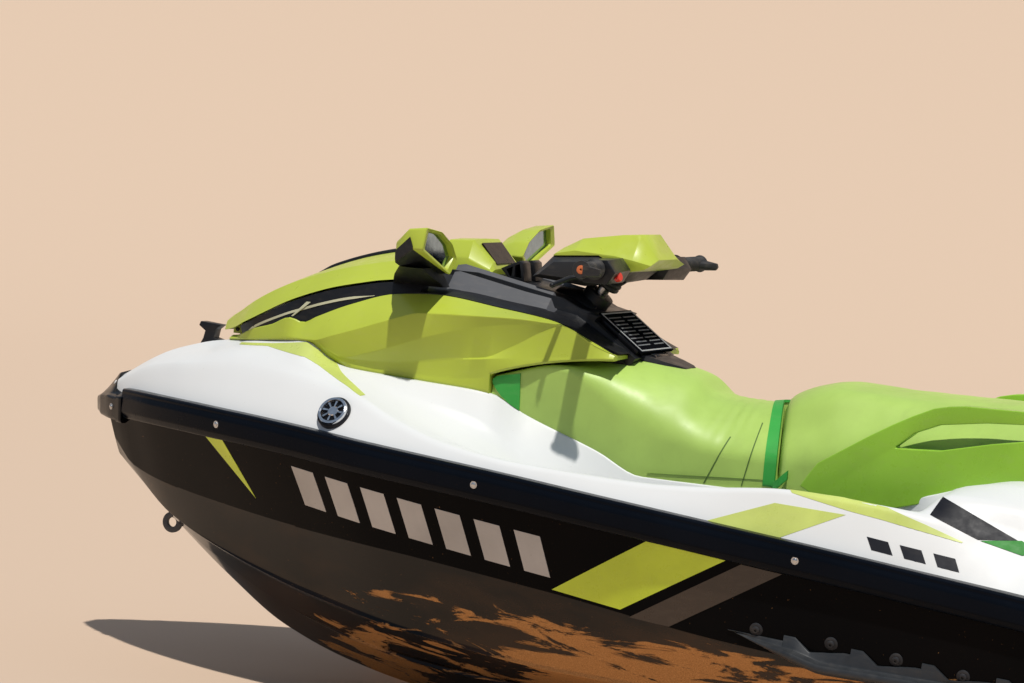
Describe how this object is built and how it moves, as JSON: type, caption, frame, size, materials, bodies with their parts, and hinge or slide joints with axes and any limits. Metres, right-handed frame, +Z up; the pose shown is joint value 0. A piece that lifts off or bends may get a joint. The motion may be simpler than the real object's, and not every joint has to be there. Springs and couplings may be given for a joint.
{
  "type": "personal watercraft",
  "caption": "Sit-on jet-drive personal watercraft: hull and deck, step seat, raked bars that turn the nozzle, impeller, reverse bucket, opening hood and glovebox.",
  "frame": {"origin": "on the floor under the middle of the craft's length and beam", "axes": "+X to the bow, +Y to port, +Z up"},
  "size_m": [3.368, 1.23, 1.146],
  "materials": {
    "hull_black": "gloss",
    "deck_white": "gloss",
    "rail_black": "satin",
    "black_plastic": "textured",
    "fin_grey": "textured",
    "lime": "satin",
    "lime_pale": "satin",
    "seat_vinyl": "grained",
    "mat_grey": "ribbed",
    "grip_rubber": "ribbed",
    "cast_aluminium": "cast",
    "steel": "brushed",
    "chrome": "polished",
    "mirror_glass": "polished",
    "engine": "cast"
  },
  "bodies": {
    "craft": {"hull": "hull_black", "deck": "deck_white", "rub_rails": "rail_black", "bow_bumper": "black_plastic", "stern_bumpers": "black_plastic", "bow_cleat": "black_plastic", "bow_eye": "steel", "fuel_cap": "chrome", "storage_bin": "black_plastic", "engine_block": "engine", "sponson_port": "fin_grey", "sponson_starboard": "fin_grey", "footwell_mats": "mat_grey", "platform_mat": "mat_grey", "intake_grate": "cast_aluminium", "ride_plate": "cast_aluminium", "pump_housing": "cast_aluminium", "venturi": "cast_aluminium", "hood_hinge": "black_plastic", "cowl_nose": "lime", "side_panel_port": "lime", "side_panel_starboard": "lime", "hood_bands": "black_plastic", "console": "black_plastic", "gauge_binnacle": "lime", "driver_seat": "seat_vinyl", "passenger_seat": "seat_vinyl", "grab_rail_port": "lime", "grab_rail_starboard": "lime", "rear_handle": "black_plastic", "stern_eyes": "steel"},
    "steering_bars": {"handlebar": "steel", "bar_body": "black_plastic", "bar_cover": "lime", "switch_pods": "black_plastic", "grips": "grip_rubber", "brake_lever": "black_plastic", "throttle_lever": "black_plastic"},
    "nozzle": {"steering_nozzle": "cast_aluminium"},
    "impeller_shaft": {"impeller": "steel"},
    "reverse_gate": {"reverse_bucket": "black_plastic"},
    "hood_lid": {"hood": "lime", "mirrors": "lime", "mirror_glasses": "mirror_glass"},
    "glovebox_cover": {"glovebox_lid": "black_plastic"}
  },
  "joints": [
    {"name": "steering", "type": "hinge", "parent": "craft", "child": "steering_bars", "pos_m": [0.354, 0, 1.04], "axis": [-0.5736, 0, 0.8192], "range_deg": [-20, 20]},
    {"name": "nozzle_turn", "type": "hinge", "parent": "craft", "child": "nozzle", "pos_m": [-1.416, 0, 0.14], "axis": [0, 0, -1], "range_deg": [-20, 20]},
    {"name": "impeller_spin", "type": "hinge", "parent": "craft", "child": "impeller_shaft", "pos_m": [-1.116, 0, 0.14], "axis": [1, 0, 0], "continuous": true},
    {"name": "bucket_drop", "type": "hinge", "parent": "craft", "child": "reverse_gate", "pos_m": [-1.331, 0, 0.14], "axis": [0, -1, 0], "range_deg": [0, 82]},
    {"name": "hood_lift", "type": "hinge", "parent": "craft", "child": "hood_lid", "pos_m": [1.308, 0, 0.815], "axis": [0, 1, 0], "range_deg": [0, 50]},
    {"name": "glovebox_open", "type": "hinge", "parent": "craft", "child": "glovebox_cover", "pos_m": [0.22, 0, 0.864], "axis": [0, -1, 0], "range_deg": [0, 80]}
  ],
  "couplings": [
    {"joint": "nozzle_turn", "follows": "steering", "ratio": 1}
  ]
}
